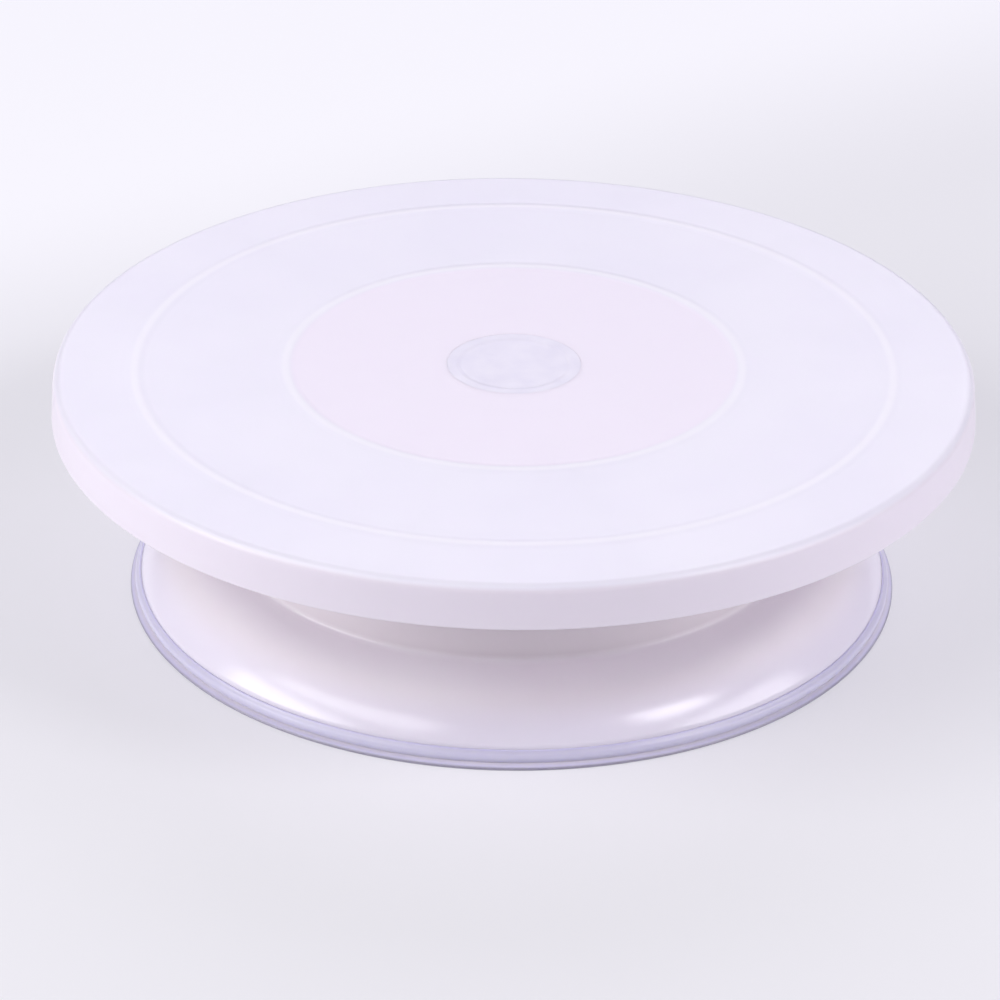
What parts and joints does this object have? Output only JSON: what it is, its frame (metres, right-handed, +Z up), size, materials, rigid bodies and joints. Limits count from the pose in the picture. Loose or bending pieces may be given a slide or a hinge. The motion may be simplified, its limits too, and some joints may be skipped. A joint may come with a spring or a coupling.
{
  "type": "cake turntable",
  "caption": "Revolving cake stand: a flanged round plate with raised guide rings spins on a ball race over a domed hollow base with a soft anti-slip edge ring.",
  "frame": {"origin": "on the floor, under the centre of the base, on the spin axis", "axes": "+Z up along the spin axis; +Y away from the viewer; the object is the same from every side"},
  "size_m": [0.28, 0.28, 0.073],
  "materials": {
    "plate_plastic": "white polypropylene, faintly milky, satin",
    "cap_plastic": "frosted translucent polypropylene",
    "base_plastic": "glossy white polypropylene with a faint pink cast",
    "ring_rubber": "translucent lavender thermoplastic rubber",
    "cage_plastic": "natural polyamide",
    "bush_plastic": "natural acetal",
    "bearing_steel": "pressed, rolled bearing steel",
    "ball_steel": "polished chrome steel",
    "spindle_steel": "turned, zinc-plated steel",
    "fastener_steel": "zinc-plated steel"
  },
  "bodies": {
    "base": {"base_shell": "base_plastic", "anti_slip_ring": "ring_rubber", "spindle_bush": "bush_plastic", "lower_race": "bearing_steel"},
    "cage": {"ball_cage": "cage_plastic", "ball_01": "ball_steel", "ball_02": "ball_steel", "ball_03": "ball_steel", "ball_04": "ball_steel", "ball_05": "ball_steel", "ball_06": "ball_steel", "ball_07": "ball_steel", "ball_08": "ball_steel", "ball_09": "ball_steel", "ball_10": "ball_steel", "ball_11": "ball_steel", "ball_12": "ball_steel"},
    "plate": {"turntable_plate": "plate_plastic", "center_cap": "cap_plastic", "upper_race": "bearing_steel", "spindle": "spindle_steel", "hub_screw_01": "fastener_steel", "hub_screw_02": "fastener_steel", "hub_screw_03": "fastener_steel", "spindle_washer": "fastener_steel", "spindle_nut": "fastener_steel"}
  },
  "joints": [
    {"name": "plate_spin", "type": "hinge", "parent": "base", "child": "plate", "pos_m": [0, 0, 0.0636], "axis": [0, 0, 1], "continuous": true},
    {"name": "cage_spin", "type": "hinge", "parent": "base", "child": "cage", "pos_m": [0, 0, 0.0636], "axis": [0, 0, 1], "continuous": true}
  ],
  "couplings": [
    {"joint": "cage_spin", "follows": "plate_spin", "ratio": 0.5}
  ]
}
